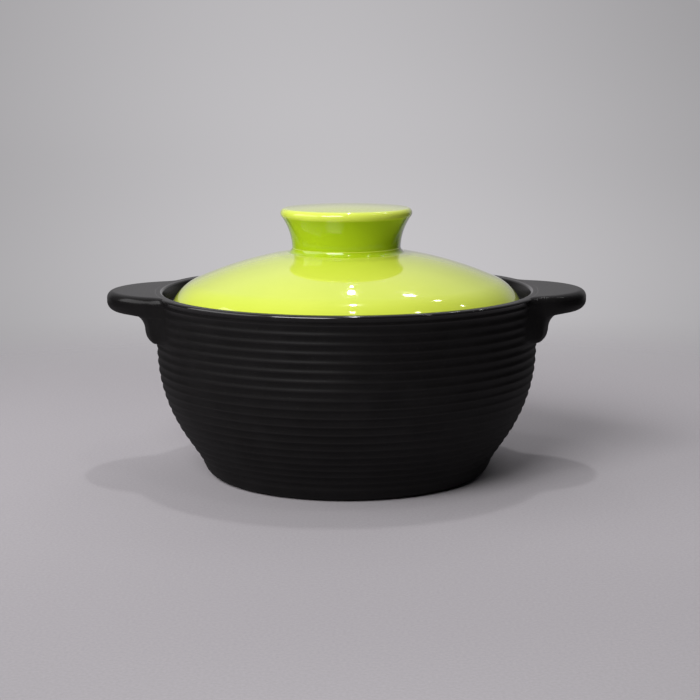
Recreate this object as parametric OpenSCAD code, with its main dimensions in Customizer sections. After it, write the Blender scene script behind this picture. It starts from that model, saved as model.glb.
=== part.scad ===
// Round porcelain casserole: a ribbed bowl with two lug handles and a domed lid with a flared knob.
// Lengths are in millimetres, angles in degrees. Section points are [radius, height].
// The origin is the centre of the base on the table, X runs through the handles and Z is up.

/* [Pot wall] */
// Outside radius at the rim
rim_r = 107; // [100:0.5:112]
// Height of the rim above the table
pot_h = 102; // [99:0.5:108]
// Outward lean of the upper wall
flare_deg = 2.8; // [1.5:0.1:4]
// Height of the centre of the bowl curve
bowl_z = 70.5; // [68:0.5:73]
// Radius of the bowl curve in section
bowl_r = 86; // [82:1:90]
// Lean of the wall where the bowl curve ends
bowl_deg = 34; // [31:0.5:37]
// Height at which the steeper foot begins
foot_h = 11.4; // [10:0.2:13]
// Lean of the foot
foot_deg = 27; // [24:1:28]
// Radius of the rounded edge between foot and base
foot_edge_r = 8; // [6:0.5:9]
// Thickness of the pot wall
wall_t = 7; // [6:0.1:8]
// Thickness of the pot floor
floor_t = 7; // [5:0.5:9]
// Radius of the curve inside between wall and floor
floor_edge_r = 14; // [8:1:20]
// Width of the bare ring that the pot stands on
ring_w = 5.5; // [4:0.5:8]
// Height of the hollow under the floor
ring_h = 2; // [1:0.2:3]

/* [Ribs] */
// Distance from one rib to the next along the wall
rib_pitch = 4.8; // [4.5:0.1:5.1]
// Depth of the hollow between two ribs
rib_depth = 0.6; // [0.4:0.1:0.9]
// Number of full hollows below the first rib
rib_count = 20; // [16:1:20]
// Width of the rounded crest of a rib
rib_land = 0.4; // [0.3:0.1:0.8]
// Height of the plain lip above the first hollow
lip_h = 1.5; // [1.2:0.1:2]
// Width of the narrow hollow below the lip
lip_hollow_w = 3.4; // [3:0.1:4]

/* [Rim and lid seat] */
// Radius of the rounded outer edge of the rim
rim_edge_r = 1.2; // [0.8:0.1:1.4]
// Width of the top of the rim
rim_w = 5; // [4:0.1:6]
// Radius of the rounded inner edge of the rim
rim_in_edge_r = 2; // [1:0.1:2.2]
// Depth of the lid seat below the rim
seat_drop = 7.5; // [6:0.1:8.5]
// Distance of the outer side of the lid seat inside the rim
seat_in = 8.2; // [7:0.1:9.5]
// Radius of the curve at the outer side of the seat
seat_edge_r = 1.5; // [1:0.1:2]
// Width of the lid seat
seat_w = 7.8; // [7:0.1:8.4]
// Height of the upright inner edge of the seat
throat_h = 4; // [3:0.1:5]
// Radius of the rounded edge of the throat
throat_edge_r = 1; // [0.5:0.1:1.5]
// Lean of the underside of the seat
seat_under_deg = 50; // [40:1:60]
// Radius of the curve inside below the seat
under_edge_r = 5; // [3:0.5:6]

/* [Handles] */
// Plan radius of a handle
lug_r = 40.3; // [38:0.1:43]
// Distance of the centre of that plan circle inside the rim
lug_in = 14.5; // [12:0.5:17]
// Thickness of a handle
lug_t = 10.7; // [9.8:0.1:11.7]
// Drop of the handle top below the rim
lug_drop = 0.1; // [0.1:0.1:0.5]
// Radius of the rounded top edge of a handle
lug_top_r = 4; // [2.5:0.1:4.5]
// Radius of the rounded lower edge of a handle
lug_low_r = 5; // [4:0.1:5.5]
// Inset of the sides of the bracket behind the edge of the slab
web_in = 0.5; // [0.4:0.1:2]
// Reach of the bracket beyond the rim
web_out = 4.5; // [3.5:0.1:6]
// Distance of the bottom of the bracket below the rim
web_drop = 25; // [25:0.5:30]
// Inward lean of the bracket towards its bottom
web_deg = 12; // [6:1:16]
// Radius of the curve between bracket and handle underside
web_edge_r = 10; // [8:0.5:10]
// Radius of the rounded bottom edge of the bracket
web_low_r = 2.6; // [2:0.1:3]

/* [Lid] */
// Gap between the lid and the outer side of the seat
lid_gap = 2; // [1.5:0.1:3]
// Height of the crown above the lid seat at the lid axis
crown_h = 30.6; // [28:0.1:33]
// Radius of the shoulder curve at the lid edge
shoulder_r = 24; // [22:0.5:26]
// Drop of the centre of that curve below the lid seat
shoulder_drop = 9; // [7:0.5:11]
// Radius of the rounded lower edge of the lid
lid_edge_r = 1.4; // [1:0.1:1.8]
// Thickness of the lid at the crown
lid_t = 5.5; // [4.5:0.1:6.5]
// Gap between the locating flange and the throat of the pot
flange_gap = 1; // [0.8:0.1:2.5]
// Thickness of the locating flange
flange_t = 5; // [4:0.1:6]
// Depth of the locating flange below the seat
flange_h = 6.5; // [5:0.1:8]
// Radius of the rounded flange edges
flange_edge_r = 1.8; // [1:0.1:1.9]
// Radius of the curve between flange and lid underside
lid_under_r = 6; // [4:0.5:8]

/* [Knob] */
// Radius of the narrow part of the knob
knob_waist_r = 30; // [28:0.1:31.5]
// Greatest radius of the knob
knob_r = 36.4; // [35:0.1:38]
// Height of the knob top above the lid seat
knob_h = 53.9; // [51:0.1:56]
// Radius of the hollowed side of the knob in section
knob_side_r = 31; // [28:0.5:36]
// Radius of the rounded knob rim
knob_edge_r = 2.8; // [2:0.1:3.2]
// Radius of the slightly domed knob top in section
knob_top_r = 380; // [300:10:600]
// Wall thickness of the hollow knob
knob_t = 4.8; // [4:0.1:5.5]
// Radius of the curve between knob and crown
knob_foot_r = 3.2; // [2:0.1:4]
// Radius of the curve inside the top of the knob
knob_room_edge_r = 4; // [2:0.5:6]

/* [Hidden] */
$fn = 96;
fine = 720;
over = 2;
bite = 0.4;

// Unit vectors: out of a wall that leans by a, along it towards the foot, and a point moved along one.
function out(a) = [cos(a), -sin(a)];
function down(a) = [-sin(a), -cos(a)];
function unit(v) = v / norm(v);
function on_circle(c, p, r) = c + r * unit(p - c);
function arc_deg(len, r) = len / r * 180 / PI;

// The outside of the wall: a leaning upper wall, the bowl curve, a straight lower wall and the foot.
top_end_z = bowl_z - bowl_r * sin(flare_deg);
top_len = (pot_h - top_end_z) / cos(flare_deg);
bowl_c = [rim_r - top_len * sin(flare_deg) - bowl_r * cos(flare_deg), bowl_z];
rim_p = [rim_r, pot_h];
top_end = bowl_c + bowl_r * out(flare_deg);
bowl_end = bowl_c + bowl_r * out(bowl_deg);
bowl_len = bowl_r * (bowl_deg - flare_deg) * PI / 180;
low_len = (bowl_end[1] - foot_h) / cos(bowl_deg);
foot_p = bowl_end + low_len * down(bowl_deg);
foot_end_z = foot_edge_r * (1 - sin(foot_deg));
foot_end = foot_p + (foot_h - foot_end_z) / cos(foot_deg) * down(foot_deg);
foot_c = foot_end - foot_edge_r * out(foot_deg);

// Lean of the wall and the point on it at a given way down from the rim.
low_start = top_len + bowl_len;
foot_start = low_start + low_len;
function lean(s) =
    s < top_len ? flare_deg :
    s < low_start ? flare_deg + arc_deg(s - top_len, bowl_r) :
    s < foot_start ? bowl_deg : foot_deg;
function wall_p(s) =
    s < top_len ? rim_p + s * down(flare_deg) :
    s < low_start ? bowl_c + bowl_r * out(lean(s)) :
    s < foot_start ? bowl_end + (s - low_start) * down(bowl_deg) :
    foot_p + (s - foot_start) * down(foot_deg);

// Hollows between the ribs are shallow circle segments of this radius.
rib_half = (rib_pitch - rib_land) / 2;
hollow_r = (rib_half * rib_half + rib_depth * rib_depth) / (2 * rib_depth);
first_rib = lip_h + lip_hollow_w;

// The inside of the pot keeps the wall thickness down to the floor.
floor_z = ring_h + floor_t;
in_r = bowl_r - wall_t;
in_top_end = bowl_c + in_r * out(flare_deg);
in_bowl_end = bowl_c + in_r * out(bowl_deg);
in_low_p = in_bowl_end + (in_bowl_end[1] - floor_z) / cos(bowl_deg) * down(bowl_deg);
ring_in_r = foot_c[0] - ring_w;

// The lid seat, its throat and the slope that carries it.
rim_in_r = rim_r - rim_w;
seat_r = rim_r - seat_in;
throat_r = seat_r - seat_w;
seat_z = pot_h - seat_drop;
throat_z = seat_z - throat_h;
seat_side = unit([rim_in_r - seat_r, seat_drop]);
under_dir = [sin(seat_under_deg), -cos(seat_under_deg)];
in_top_dir = -down(flare_deg);
under_gap = in_top_end - [throat_r, throat_z];
under_len = (under_gap[0] * in_top_dir[1] - under_gap[1] * in_top_dir[0])
    / (under_dir[0] * in_top_dir[1] - under_dir[1] * in_top_dir[0]);
under_p = [throat_r, throat_z] + under_len * under_dir;

// The sliver between a corner and the circle that rounds it, with a little more past the corner.
// Both directions point away from the corner along its two sides.
module corner(p, d1, d2, r) {
    half = acos(d1 * d2) / 2;
    mid = p + r / sin(half) * unit(d1 + d2);
    t = r / tan(half);
    grow = (r + bite) / r;
    left = cross(d1, d2) > 0 ? d1 : d2;
    right = cross(d1, d2) > 0 ? d2 : d1;
    difference() {
        polygon([mid + grow * (p - mid), mid + grow * (p + t * left - mid), mid, mid + grow * (p + t * right - mid)]);
        translate(mid) circle(r);
    }
}

// A slice of a disc between two directions, used where a straight outline takes a true curve.
module slice(c, r, p1, p2) {
    intersection() {
        translate(c) circle(r);
        polygon([c, c + 2 * (p1 - c), c + 2 * (p2 - c)]);
    }
}

// One hollow between ribs, centred a way s down the wall and w wide.
module rib_hollow(s, w) {
    translate(wall_p(s) + sqrt(hollow_r * hollow_r - w * w / 4) * out(lean(s))) circle(hollow_r);
}

// The filled outline of the pot, ribs included. The handles seat on this same surface.
module pot_outline() {
    difference() {
        union() {
            polygon([[0, 0], [foot_c[0], 0], foot_end, foot_p, bowl_end, top_end, rim_p, [0, pot_h]]);
            slice(bowl_c, bowl_r, top_end, bowl_end);
            intersection() {
                translate(foot_c) circle(foot_edge_r);
                polygon([foot_c, [foot_c[0], -over], [rim_r, -over], foot_end + foot_edge_r * out(foot_deg)]);
            }
        }
        rib_hollow(lip_h + lip_hollow_w / 2, lip_hollow_w - rib_land);
        for (i = [1:rib_count]) {
            rib_hollow(first_rib + (i - 1 / 2) * rib_pitch, 2 * rib_half);
        }
    }
}

// The room inside the pot, from the floor up through the throat, the lid seat and the rim.
module pot_room() {
    difference() {
        union() {
            polygon([
                [0, floor_z],
                in_low_p,
                in_bowl_end,
                in_top_end,
                under_p,
                [throat_r, throat_z],
                [throat_r, seat_z],
                [seat_r, seat_z],
                [rim_in_r, pot_h],
                [rim_in_r + over * seat_side[0] / seat_side[1], pot_h + over],
                [0, pot_h + over]
            ]);
            slice(bowl_c, in_r, in_top_end, in_bowl_end);
            corner([throat_r, seat_z], [1, 0], [0, -1], throat_edge_r);
            corner([throat_r, throat_z], [0, 1], under_dir, throat_edge_r);
            corner([rim_in_r, pot_h], [1, 0], -seat_side, rim_in_edge_r);
        }
        corner(in_low_p, [-1, 0], -down(bowl_deg), floor_edge_r);
        corner(under_p, -under_dir, -in_top_dir, under_edge_r);
        corner([seat_r, seat_z], [-1, 0], seat_side, seat_edge_r);
    }
}

module pot_body() {
    color([0.06, 0.06, 0.065])
    rotate_extrude() {
        difference() {
            pot_outline();
            pot_room();
            corner(rim_p, [-1, 0], down(flare_deg), rim_edge_r);
            polygon([[0, -over], [ring_in_r + over, -over], [ring_in_r - ring_h, ring_h], [0, ring_h]]);
        }
    }
}

// The handles: a rounded slab that runs into the wall, over a bracket that follows the wall.
// The sides of the bracket lie almost flush with the slab, and its outer face turns out under the slab.
lug_x = rim_r - lug_in;
lug_z = pot_h - lug_drop - lug_t;
inside_r = rim_r - wall_t / 2;
web_r = rim_r + web_out;
web_z = pot_h - web_drop;
web_top_z = lug_z - web_edge_r;
web_end_r = web_r + web_edge_r;
lug_side_z = lug_z + lug_low_r;
web_low_reach = web_r - (web_top_z - web_z) * tan(web_deg);

module lug_slab() {
    translate([lug_x, 0, lug_z])
    rotate_extrude() {
        difference() {
            square([lug_r, lug_t]);
            corner([lug_r, 0], [-1, 0], [0, 1], lug_low_r);
            corner([lug_r, lug_t], [-1, 0], [0, -1], lug_top_r);
        }
    }
}

module lug_web() {
    intersection() {
        rotate_extrude() {
            difference() {
                polygon([
                    [inside_r, web_z],
                    [web_low_reach, web_z],
                    [web_r, web_top_z],
                    [web_end_r, web_top_z],
                    [web_end_r, lug_z],
                    [web_end_r + lug_low_r, lug_side_z],
                    [inside_r, lug_side_z]
                ]);
                translate([web_end_r, web_top_z]) circle(web_edge_r);
                corner([web_low_reach, web_z], [-1, 0], [sin(web_deg), cos(web_deg)], web_low_r);
            }
        }
        translate([lug_x, 0, web_z - over]) cylinder(h = pot_h, r = lug_r - web_in);
    }
}

module lug() {
    difference() {
        union() {
            lug_slab();
            lug_web();
        }
        rotate_extrude() pot_outline();
    }
}

module left_handle() {
    color([0.06, 0.06, 0.065])
    mirror([1, 0, 0])
    lug();
}

module right_handle() {
    color([0.06, 0.06, 0.065])
    lug();
}

// The lid: a shallow crown that turns over a tighter shoulder into the seated edge.
// The crown curve takes the radius at which it runs into the shoulder without a break.
lid_r = seat_r - lid_gap;
crown_z = seat_z + crown_h;
shoulder_w = sqrt(shoulder_r * shoulder_r - shoulder_drop * shoulder_drop);
turn_r = lid_r - shoulder_w;
shoulder_c = [turn_r, seat_z - shoulder_drop];
rise = crown_h + shoulder_drop;
dome_r = (turn_r * turn_r + rise * rise - shoulder_r * shoulder_r) / (2 * (rise - shoulder_r));
dome_c = [0, crown_z - dome_r];
shoulder_p = on_circle(dome_c, shoulder_c, dome_r);
flange_r = throat_r - flange_gap;
under_dome_r = dome_r - lid_t;
lid_room_r = flange_r - flange_t;
flange_z = seat_z - flange_h;
lid_room_z = dome_c[1] + sqrt(under_dome_r * under_dome_r - lid_room_r * lid_room_r);
lid_room_dir = unit([-(lid_room_z - dome_c[1]), lid_room_r]);

module crown_outline() {
    intersection() {
        union() {
            intersection() {
                translate(dome_c) circle(dome_r, $fn = fine);
                polygon([[0, flange_z], [turn_r, flange_z], shoulder_c, 2 * shoulder_p - shoulder_c, [0, crown_z + over]]);
            }
            translate(shoulder_c) circle(shoulder_r);
        }
        translate([0, seat_z]) square([lid_r + over, crown_h + over]);
    }
}

// The knob: a hollowed side below a rounded rim and a slightly domed top.
knob_z = seat_z + knob_h;
knob_rim_r = knob_r - knob_edge_r;
knob_top_c = [0, knob_z - knob_top_r];
knob_top_in = knob_top_r - knob_edge_r;
knob_rim_c = [knob_rim_r, knob_top_c[1] + sqrt(knob_top_in * knob_top_in - knob_rim_r * knob_rim_r)];
knob_top_p = on_circle(knob_top_c, knob_rim_c, knob_top_r);
knob_side_x = knob_waist_r + knob_side_r;
knob_reach = knob_side_r + knob_edge_r;
knob_lift = sqrt(knob_reach * knob_reach - (knob_rim_r - knob_side_x) * (knob_rim_r - knob_side_x));
knob_side_c = [knob_side_x, knob_rim_c[1] - knob_lift];
knob_side_p = on_circle(knob_side_c, knob_rim_c, knob_side_r);
knob_room_r = knob_waist_r - knob_t;
knob_room_top_r = knob_rim_r - knob_t;
knob_room_top = [knob_room_top_r, knob_z - knob_t];
knob_room_low = [knob_room_r, knob_side_c[1]];
knob_seat_z = dome_c[1] + sqrt(dome_r * dome_r - knob_waist_r * knob_waist_r);
knob_seat_dir = unit([knob_seat_z - dome_c[1], -knob_waist_r]);
knob_low_z = seat_z + crown_h / 2;

module knob_outline() {
    difference() {
        polygon([
            [0, knob_low_z],
            [knob_waist_r, knob_low_z],
            [knob_waist_r, knob_side_c[1]],
            knob_side_c,
            knob_side_p,
            knob_rim_c,
            [0, knob_rim_c[1]]
        ]);
        translate(knob_side_c) circle(knob_side_r);
    }
    translate(knob_rim_c) circle(knob_edge_r);
    intersection() {
        translate(knob_top_c) circle(knob_top_r, $fn = fine);
        polygon([[0, knob_rim_c[1]], knob_rim_c, 2 * knob_top_p - knob_rim_c, [0, knob_z + over]]);
    }
    corner([knob_waist_r, knob_seat_z], [0, 1], knob_seat_dir, knob_foot_r);
}

// The hollow inside the knob, open downwards into the lid.
module knob_room() {
    difference() {
        polygon([[0, -over], [knob_room_r, -over], knob_room_low, knob_room_top, [0, knob_room_top[1]]]);
        corner(knob_room_top, [-1, 0], unit(knob_room_low - knob_room_top), knob_room_edge_r);
    }
}

module lid_shell() {
    color([0.72, 0.86, 0.12])
    rotate_extrude() {
        difference() {
            union() {
                crown_outline();
                translate([lid_room_r, flange_z]) square([flange_t, flange_h + over]);
            }
            intersection() {
                translate(dome_c) circle(under_dome_r, $fn = fine);
                translate([0, flange_z - over]) square([lid_room_r, crown_h + flange_h + over]);
            }
            translate([0, flange_z]) square([knob_room_r, crown_h + flange_h + over]);
            corner([lid_room_r, flange_z], [0, 1], [1, 0], flange_edge_r);
            corner([flange_r, flange_z], [0, 1], [-1, 0], flange_edge_r);
            corner([lid_r, seat_z], [-1, 0], unit([-shoulder_drop, shoulder_w]), lid_edge_r);
        }
        corner([lid_room_r, lid_room_z], [0, -1], lid_room_dir, lid_under_r);
    }
}

module lid_knob() {
    color([0.66, 0.80, 0.10])
    rotate_extrude() {
        difference() {
            knob_outline();
            knob_room();
            crown_outline();
        }
    }
}

pot_body();
left_handle();
right_handle();
lid_shell();
lid_knob();
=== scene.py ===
"""Round porcelain casserole: ribbed satin black bowl with lug handles, glossy lime lid and knob.

The shapes are in millimetres until a mesh is made, and section points are (radius, height).
Materials, lamps and camera are in metres. Angles are in degrees, unless a comment says radians.
"""
from functools import lru_cache
from math import acos, asin, atan2, cos, degrees, exp, hypot, pi, radians, sin, sqrt, tan

import bmesh
import bpy
from mathutils import Euler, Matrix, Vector

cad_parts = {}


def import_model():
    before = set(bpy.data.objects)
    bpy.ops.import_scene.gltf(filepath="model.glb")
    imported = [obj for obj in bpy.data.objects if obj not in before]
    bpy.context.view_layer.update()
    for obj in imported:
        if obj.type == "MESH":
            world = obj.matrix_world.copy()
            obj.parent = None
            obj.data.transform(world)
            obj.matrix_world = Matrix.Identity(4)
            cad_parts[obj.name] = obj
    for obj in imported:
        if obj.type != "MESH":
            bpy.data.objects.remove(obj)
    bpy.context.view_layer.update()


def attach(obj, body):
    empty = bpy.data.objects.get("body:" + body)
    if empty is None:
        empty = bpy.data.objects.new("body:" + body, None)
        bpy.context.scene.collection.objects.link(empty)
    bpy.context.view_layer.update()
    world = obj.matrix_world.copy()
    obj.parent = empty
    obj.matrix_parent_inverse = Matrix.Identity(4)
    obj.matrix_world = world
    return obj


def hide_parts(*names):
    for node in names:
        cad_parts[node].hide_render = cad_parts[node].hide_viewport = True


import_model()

MM = 0.001

# Pot wall, the same values as the solids.
RIM_R = 107.0
POT_H = 102.0
FLARE = 2.8
BOWL_Z = 70.5
BOWL_R = 86.0
BOWL_LEAN = 34.0
FOOT_H = 11.4
FOOT_LEAN = 27.0
FOOT_EDGE_R = 8.0
WALL_T = 7.0
FLOOR_Z = 9.0
FLOOR_EDGE_R = 14.0
RING_W = 5.5
RING_H = 2.0
RING_EDGE_R = 0.6

# Ribs: round hollows with a narrow land between them.
RIB_PITCH = 4.8
RIB_DEPTH = 0.6
RIB_COUNT = 20
RIB_LAND = 0.4
LIP_H = 1.5
LIP_HOLLOW_W = 3.4

# Only in the scene: crests worn soft by a bell curve, and rows of points that crowd towards them.
RIB_SOFT = 0.45
BELL_WIDTHS = 3
RIB_SPACING = 0.05
RIB_ROWS = 16
ROW_CROWDING = 0.11
WALL_TOP_GAP = 0.1
WALL_LOW_GAP = 0.4

# Only in the scene: the unevenness of a thrown wall, as waves of (times round, phase, slant, share), with
# phase and slant in radians.
UNEVEN = 0.05
UNEVEN_WAVES = ((2, 0.7, 0.0, 1.0), (3, 2.1, 0.02, 0.7), (5, 0.3, -0.05, 0.5))
UNEVEN_DROP = 4.0
UNEVEN_RUN = 20.0

# Only in the scene: the ribs beside a bracket run out over these degrees round the wall, from a little
# below the bracket upwards.
JOIN_END = 31.5
JOIN_RUN = 5.5
JOIN_DROP = 3.0
JOIN_RISE = 4.0

# Rim, lid seat and throat.
RIM_EDGE_R = 1.5
RIM_IN_R = 102.0
RIM_IN_EDGE_R = 2.0
SEAT_Z = 94.5
SEAT_R = 98.8
SEAT_EDGE_R = 1.5
THROAT_R = 91.0
THROAT_H = 4.0
THROAT_EDGE_R = 1.0
SEAT_UNDER_LEAN = 50.0
UNDER_EDGE_R = 5.0

# Handles: a flat lug, round in plan, and the bracket under it.
LUG_R = 40.3
LUG_X = 92.5
LUG_LOW_Z = 91.2
LUG_TOP_R = 4.0
LUG_LOW_R = 5.0
LUG_EMBED = 1.8
WEB_R = 111.5
WEB_Z = 77.0
WEB_LEAN = 12.0
WEB_EDGE_R = 10.0
WEB_LOW_R = 2.6

# Only in the scene: the curve in plan that runs a lug into the wall and ends just under the ribs. Its last
# run is in radians.
ROOT_R = 20.0
ROOT_SINK = 0.25
ROOT_DIVE = 1.2
ROOT_RUN = 0.16
WEB_SOFT = 2.0
WEB_LEAST_W = 0.1

# The top of a lug starts inside the rim and lies a hair above it, and its back ends below the rim.
TOP_IN = 0.5
TOP_IN_DROP = 0.25
TOP_ON = 0.3
TOP_LEAST_W = 0.3
TOP_PROUD = 0.005
BACK_DROP = 2.0

# Columns and rows of points on a lug.
LUG_COLUMNS = 180
COLUMN_CROWDING = 0.06
FLAT_ROWS = 14
EDGE_ROWS = 9
SIDE_ROWS = 3
TURN_ROWS = 12
LEVEL_ROWS = 3
WEB_ROWS = 6
BACK_ROWS = 5

# Lid.
LID_R = 96.8
CROWN_H = 30.6
SHOULDER_R = 24.0
SHOULDER_DROP = 9.0
LID_EDGE_R = 1.4
LID_T = 5.5
FLANGE_R = 90.0
FLANGE_T = 5.0
FLANGE_H = 6.5
FLANGE_EDGE_R = 1.8
FLANGE_ROOT_R = 0.8
LID_UNDER_R = 6.0
# The shoulder's arc stops this many radians before the edge, and the inner corner takes this many rows.
SHOULDER_SHORT = 0.06
UNDER_ROWS = 6

# Knob.
KNOB_WAIST_R = 30.0
KNOB_R = 36.4
KNOB_H = 53.9
KNOB_SIDE_R = 31.0
KNOB_EDGE_R = 2.8
KNOB_TOP_R = 380.0
KNOB_T = 4.8
KNOB_FOOT_R = 3.2
KNOB_ROOM_EDGE_R = 4.0
# The knob's foot runs out onto the crown a hair below its surface, so that no gap shows.
KNOB_SINK = 0.04
KNOB_FOOT_RUN = 6.0
KNOB_FOOT_SPILL = 0.6
KNOB_ROOM_DROP = 0.4
KNOB_BASE_IN = 0.4
KNOB_BASE_DROP = 0.8
HAIR = 0.02

# Points round each lathed piece.
POT_AROUND = 288
LID_AROUND = 256
KNOB_AROUND = 224

# Way between the points of a section, from broad curves down to the smallest edges.
WIDE_STEP = 1.6
LONG_STEP = 1.5
STEP = 0.9
SIDE_STEP = 0.7
EDGE_STEP = 0.6
RIM_STEP = 0.5
FILLET_STEP = 0.4
KNOB_EDGE_STEP = 0.3
# A corner's step is at most this share of its radius, and a straight takes points this many steps apart.
CORNER_STEP_SHARE = 0.2
STRAIGHT_STEPS = 3
# Points closer than the first count as one, and a bend is measured over no less than the second.
LEAST_STEP = 1e-5
LEAST_WAY = 1e-4

# The bend of a section, per millimetre, is kept at each point times this, between -1 and 1.
BEND_SCALE = 1.6


def add(p, q, k=1.0):
    return (p[0] + k * q[0], p[1] + k * q[1])


def sub(p, q):
    return (p[0] - q[0], p[1] - q[1])


def unit(v):
    size = hypot(v[0], v[1])
    return (v[0] / size, v[1] / size)


def bearing(p, q):
    """Direction from one point to another, in radians."""
    return atan2(q[1] - p[1], q[0] - p[0])


def out_dir(lean):
    return (cos(radians(lean)), -sin(radians(lean)))


def down_dir(lean):
    return (-sin(radians(lean)), -cos(radians(lean)))


def smooth(x):
    x = max(0.0, min(1.0, x))
    return x * x * (3 - 2 * x)


def arc(centre, radius, start, end, step=STEP):
    """Points on a circle between two directions given in radians, both ends included."""
    count = max(3, int(abs(end - start) * radius / step) + 2)
    turns = [start + (end - start) * i / (count - 1) for i in range(count)]
    return [(centre[0] + radius * cos(a), centre[1] + radius * sin(a)) for a in turns]


def filled(path, step):
    """The same path with the long straights divided."""
    full = [path[0]]
    for q in path[1:]:
        p = full[-1]
        way = sub(q, p)
        size = hypot(way[0], way[1])
        if size < LEAST_STEP:
            continue
        parts = max(1, int(size / step))
        full += [add(p, way, k / parts) for k in range(1, parts + 1)]
    return full


def rounded(points, radii, step=STEP):
    """An open path through the points, each corner rounded by its own radius, the straights divided."""
    path = [points[0]]
    for i in range(1, len(points) - 1):
        p = points[i]
        if radii[i] <= 0:
            path.append(p)
            continue
        d1, d2 = unit(sub(points[i - 1], p)), unit(sub(points[i + 1], p))
        half = acos(max(-1.0, min(1.0, d1[0] * d2[0] + d1[1] * d2[1]))) / 2
        mid = add(p, unit(add(d1, d2)), radii[i] / sin(half))
        run = radii[i] / tan(half)
        a1, a2 = bearing(mid, add(p, d1, run)), bearing(mid, add(p, d2, run))
        while a2 - a1 > pi:
            a2 -= 2 * pi
        while a2 - a1 < -pi:
            a2 += 2 * pi
        path += arc(mid, radii[i], a1, a2, min(step, radii[i] * CORNER_STEP_SHARE))
    path.append(points[-1])
    return filled(path, STRAIGHT_STEPS * step)


# The outside of the wall, by the way down from the rim.
TOP_END_Z = BOWL_Z - BOWL_R * sin(radians(FLARE))
TOP_LEN = (POT_H - TOP_END_Z) / cos(radians(FLARE))
BOWL_C = (RIM_R - TOP_LEN * sin(radians(FLARE)) - BOWL_R * cos(radians(FLARE)), BOWL_Z)
RIM_P = (RIM_R, POT_H)
BOWL_END = add(BOWL_C, out_dir(BOWL_LEAN), BOWL_R)
BOWL_LEN = BOWL_R * radians(BOWL_LEAN - FLARE)
LOW_LEN = (BOWL_END[1] - FOOT_H) / cos(radians(BOWL_LEAN))
FOOT_P = add(BOWL_END, down_dir(BOWL_LEAN), LOW_LEN)
FOOT_END_Z = FOOT_EDGE_R * (1 - sin(radians(FOOT_LEAN)))
FOOT_LEN = (FOOT_H - FOOT_END_Z) / cos(radians(FOOT_LEAN))
FOOT_END = add(FOOT_P, down_dir(FOOT_LEAN), FOOT_LEN)
FOOT_C = add(FOOT_END, out_dir(FOOT_LEAN), -FOOT_EDGE_R)
LOW_START = TOP_LEN + BOWL_LEN
FOOT_START = LOW_START + LOW_LEN
WALL_LEN = FOOT_START + FOOT_LEN
WALL_HALVINGS = 30


def lean_at(s):
    if s < TOP_LEN:
        return FLARE
    if s < LOW_START:
        return FLARE + degrees((s - TOP_LEN) / BOWL_R)
    return BOWL_LEAN if s < FOOT_START else FOOT_LEAN


def wall_p(s):
    if s < TOP_LEN:
        return add(RIM_P, down_dir(FLARE), s)
    if s < LOW_START:
        return add(BOWL_C, out_dir(lean_at(s)), BOWL_R)
    if s < FOOT_START:
        return add(BOWL_END, down_dir(BOWL_LEAN), s - LOW_START)
    return add(FOOT_P, down_dir(FOOT_LEAN), s - FOOT_START)


@lru_cache(maxsize=None)
def wall_radius(z):
    """Radius of the plain wall, ribs left out, at a height."""
    low, high = 0.0, WALL_LEN
    for _ in range(WALL_HALVINGS):
        mid = (low + high) / 2
        low, high = (mid, high) if wall_p(mid)[1] > z else (low, mid)
    return wall_p(low)[0]


# The way down the wall at which the lip's hollow ends and the even ribs start.
FIRST_RIB = LIP_H + LIP_HOLLOW_W


def rib_depths(spacing):
    """Depth of the hollows at even steps down the wall, with the crests worn soft."""
    half = (RIB_PITCH - RIB_LAND) / 2
    radius = (half * half + RIB_DEPTH * RIB_DEPTH) / (2 * RIB_DEPTH)
    hollows = [(LIP_H + LIP_HOLLOW_W / 2, (LIP_HOLLOW_W - RIB_LAND) / 2)]
    hollows += [(FIRST_RIB + (i + 0.5) * RIB_PITCH, half) for i in range(RIB_COUNT)]
    count = int(WALL_LEN / spacing) + 2
    depths = [0.0] * count
    for middle, width in hollows:
        edge = sqrt(radius * radius - width * width)
        for k in range(count):
            x = abs(k * spacing - middle)
            if x < width:
                depths[k] = sqrt(radius * radius - x * x) - edge
    reach = int(BELL_WIDTHS * RIB_SOFT / spacing)
    weights = [exp(-0.5 * (j * spacing / RIB_SOFT) ** 2) for j in range(-reach, reach + 1)]
    total = sum(weights)
    soft = []
    for k in range(count):
        near = [depths[min(count - 1, max(0, k + j))] for j in range(-reach, reach + 1)]
        soft.append(sum(w * d for w, d in zip(weights, near)) / total)
    return soft


RIB_TABLE = rib_depths(RIB_SPACING)


def rib_depth(s):
    k = s / RIB_SPACING
    i = min(len(RIB_TABLE) - 2, max(0, int(k)))
    return RIB_TABLE[i] + (RIB_TABLE[i + 1] - RIB_TABLE[i]) * min(1.0, k - i)


def outer_wall():
    """The ribbed outside, from just below the rim's edge down to the foot."""
    crests = [LIP_H, FIRST_RIB] + [FIRST_RIB + (i + 1) * RIB_PITCH for i in range(RIB_COUNT)]
    ways = [RIM_EDGE_R + WALL_TOP_GAP]
    for a, b in zip(crests, crests[1:]):
        # Rows crowd towards the crests, where the form turns fastest.
        shares = [k / RIB_ROWS - ROW_CROWDING * sin(2 * pi * k / RIB_ROWS) for k in range(RIB_ROWS)]
        ways += [a + (b - a) * share for share in shares]
    ways += [crests[-1], WALL_LEN - WALL_LOW_GAP]
    ways = [s for s in ways if s >= RIM_EDGE_R + WALL_TOP_GAP]
    return [add(wall_p(s), out_dir(lean_at(s)), -rib_depth(s)) for s in ways]


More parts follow.
